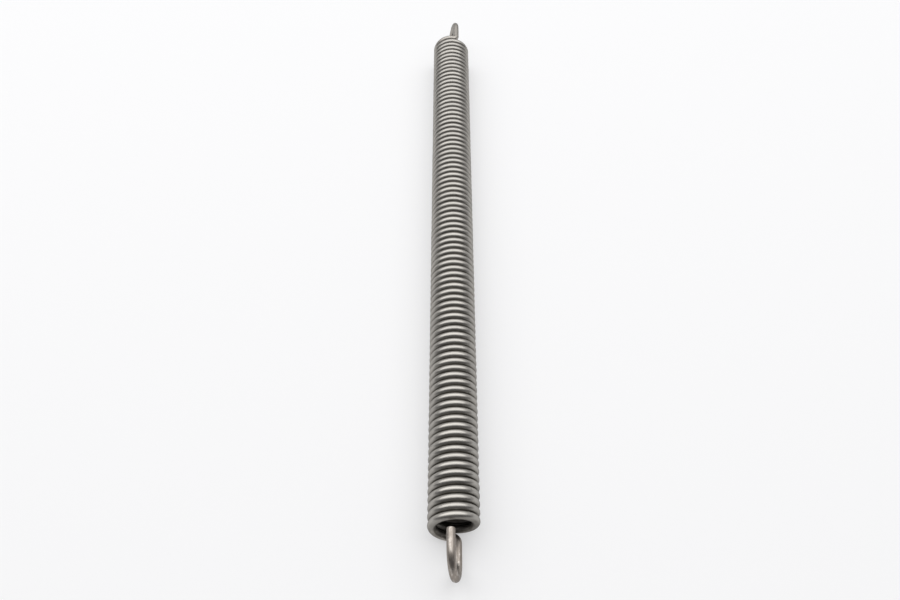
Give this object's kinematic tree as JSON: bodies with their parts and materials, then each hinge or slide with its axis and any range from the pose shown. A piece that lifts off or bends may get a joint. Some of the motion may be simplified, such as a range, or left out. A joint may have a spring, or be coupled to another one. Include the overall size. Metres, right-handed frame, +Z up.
{
  "type": "extension spring",
  "caption": "Close-wound extension spring of round steel wire with a full centre loop at each end, lying on its side.",
  "frame": {"origin": "centre of the bounding box on the surface the spring lies on", "axes": "+Y along the coil's axis from the near loop to the far loop, +Z up, +X to the right as seen from the near loop's end"},
  "size_m": [0.0184, 0.303, 0.0188],
  "materials": {
    "spring_wire": "bare drawn spring wire, satin grey, loops rubbed and slightly browned"
  },
  "bodies": {
    "root": {"spring": "spring_wire"}
  },
  "joints": []
}
